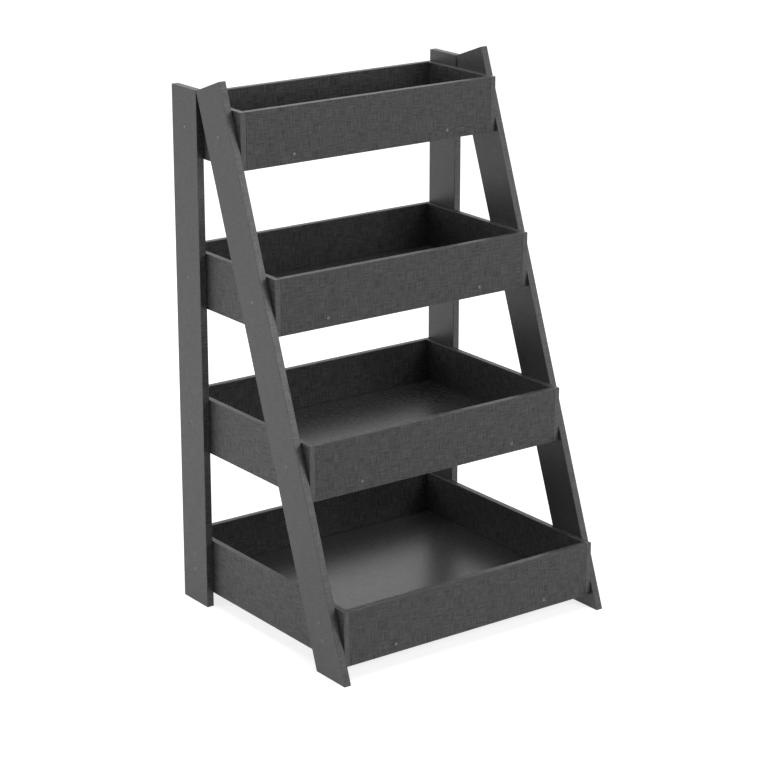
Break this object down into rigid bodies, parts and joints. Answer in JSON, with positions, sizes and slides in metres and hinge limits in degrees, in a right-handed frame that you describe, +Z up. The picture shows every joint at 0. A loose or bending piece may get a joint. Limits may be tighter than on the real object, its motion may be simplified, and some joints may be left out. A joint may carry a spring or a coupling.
{
  "type": "ladder shelf",
  "caption": "Free-standing ladder shelf: open trays of laminated board that deepen downwards, screwed between two side frames of an upright and a leaning leg.",
  "frame": {"origin": "on the floor, at the middle of the whole shelf's width and depth", "axes": "+X to the right across the shelf seen from its front, +Y from the front to the back, +Z up"},
  "size_m": [0.6296, 0.5549, 1.0688],
  "materials": {
    "frame_board": "charcoal laminate with a fine woven print on board, satin",
    "tray_wall_board": "charcoal laminate with a linen weave on board, satin",
    "tray_floor_board": "charcoal laminate with a linen weave on board, satin",
    "screw": "blackened steel"
  },
  "bodies": {
    "root": {"left_upright": "frame_board", "left_leg": "frame_board", "right_upright": "frame_board", "right_leg": "frame_board", "tray_1_left_wall": "tray_wall_board", "tray_1_right_wall": "tray_wall_board", "tray_1_front_wall": "tray_wall_board", "tray_1_back_wall": "tray_wall_board", "tray_1_floor": "tray_floor_board", "tray_2_left_wall": "tray_wall_board", "tray_2_right_wall": "tray_wall_board", "tray_2_front_wall": "tray_wall_board", "tray_2_back_wall": "tray_wall_board", "tray_2_floor": "tray_floor_board", "tray_3_left_wall": "tray_wall_board", "tray_3_right_wall": "tray_wall_board", "tray_3_front_wall": "tray_wall_board", "tray_3_back_wall": "tray_wall_board", "tray_3_floor": "tray_floor_board", "tray_4_left_wall": "tray_wall_board", "tray_4_right_wall": "tray_wall_board", "tray_4_front_wall": "tray_wall_board", "tray_4_back_wall": "tray_wall_board", "tray_4_floor": "tray_floor_board", "left_upright_screw_1": "screw", "left_upright_screw_2": "screw", "left_upright_screw_3": "screw", "left_upright_screw_4": "screw", "left_upright_screw_5": "screw", "left_leg_screw_1": "screw", "left_leg_screw_2": "screw", "left_leg_screw_3": "screw", "left_leg_screw_4": "screw", "left_leg_screw_5": "screw", "right_upright_screw_1": "screw", "right_upright_screw_2": "screw", "right_upright_screw_3": "screw", "right_upright_screw_4": "screw", "right_upright_screw_5": "screw", "right_leg_screw_1": "screw", "right_leg_screw_2": "screw", "right_leg_screw_3": "screw", "right_leg_screw_4": "screw", "right_leg_screw_5": "screw", "tray_1_front_screw_left": "screw", "tray_1_front_screw_right": "screw", "tray_1_back_screw_left": "screw", "tray_1_back_screw_right": "screw", "tray_2_front_screw_left": "screw", "tray_2_front_screw_right": "screw", "tray_2_back_screw_left": "screw", "tray_2_back_screw_right": "screw", "tray_3_front_screw_left": "screw", "tray_3_front_screw_right": "screw", "tray_3_back_screw_left": "screw", "tray_3_back_screw_right": "screw", "tray_4_front_screw_left": "screw", "tray_4_front_screw_right": "screw", "tray_4_back_screw_left": "screw", "tray_4_back_screw_right": "screw"}
  },
  "joints": []
}
